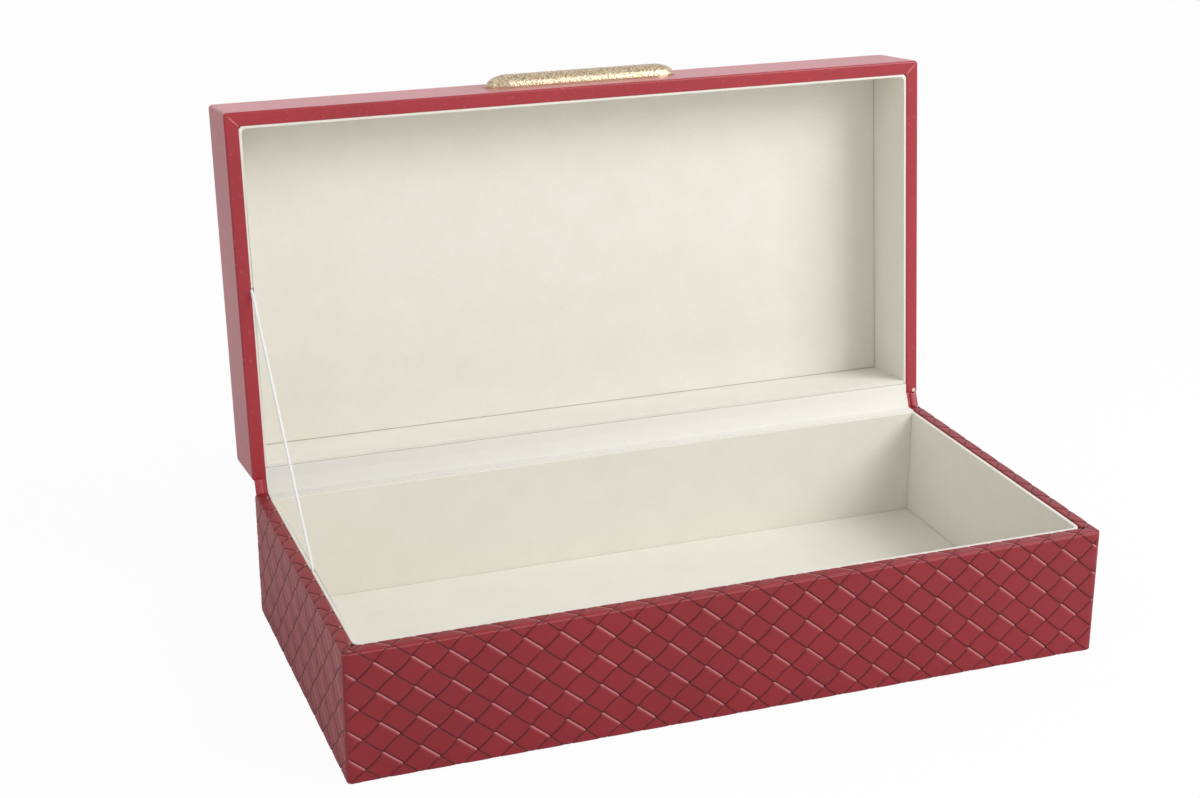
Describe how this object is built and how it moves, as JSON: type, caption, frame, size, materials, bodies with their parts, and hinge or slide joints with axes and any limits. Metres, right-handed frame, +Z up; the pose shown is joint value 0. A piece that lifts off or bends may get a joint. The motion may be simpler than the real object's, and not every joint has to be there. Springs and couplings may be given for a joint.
{
  "type": "keepsake box",
  "caption": "Rectangular keepsake box with a woven-pattern base, a plain hinged lid with a bar pull, a velvet lining and a cord stay that holds the lid open",
  "frame": {"origin": "the middle of the flat underside that the box stands on", "axes": "+Z up, X along the width, the front faces -Y and the hinge runs along the rear at +Y"},
  "size_m": [0.3, 0.1983, 0.2071],
  "materials": {
    "board": "plain fibreboard, hidden under the covering",
    "card": "grey card",
    "woven_cover": "red leathercloth embossed with a slanting basket weave, soft sheen",
    "plain_cover": "red leathercloth with a fine grain, soft sheen",
    "velvet": "short cream velvet",
    "strip": "smooth off-white hinge cloth",
    "cord": "white round cord",
    "gold": "pale gold plating, pebbled on the dome and polished on the plate",
    "tack": "polished brass",
    "steel": "zinc plated"
  },
  "bodies": {
    "base": {"base_floor_board": "board", "base_front_board": "board", "base_back_board": "board", "base_left_board": "board", "base_right_board": "board", "base_woven_cover": "woven_cover", "base_underside_card": "card", "base_wall_card": "card", "base_wall_velvet": "velvet", "base_back_card": "card", "base_back_velvet": "velvet", "base_floor_card": "card", "base_floor_velvet": "velvet", "base_corner_tack": "tack", "hinge_spine": "plain_cover", "hinge_inner_strip": "strip", "stay_cord": "cord"},
    "lid": {"lid_top_board": "board", "lid_front_board": "board", "lid_back_board": "board", "lid_left_board": "board", "lid_right_board": "board", "lid_cover": "plain_cover", "lid_wall_card": "card", "lid_wall_velvet": "velvet", "lid_back_card": "card", "lid_back_velvet": "velvet", "lid_top_card": "card", "lid_top_velvet": "velvet", "lid_corner_tack": "tack", "pull_plate": "gold", "pull_bar": "gold", "pull_screws": "steel", "pull_washers": "steel"}
  },
  "joints": [
    {"name": "lid_hinge", "type": "hinge", "parent": "base", "child": "lid", "pos_m": [0, 0.0766, 0.05368], "axis": [1, 0, 0], "range_deg": [0, 96], "deforming": ["hinge_spine", "hinge_inner_strip", "stay_cord"]}
  ]
}
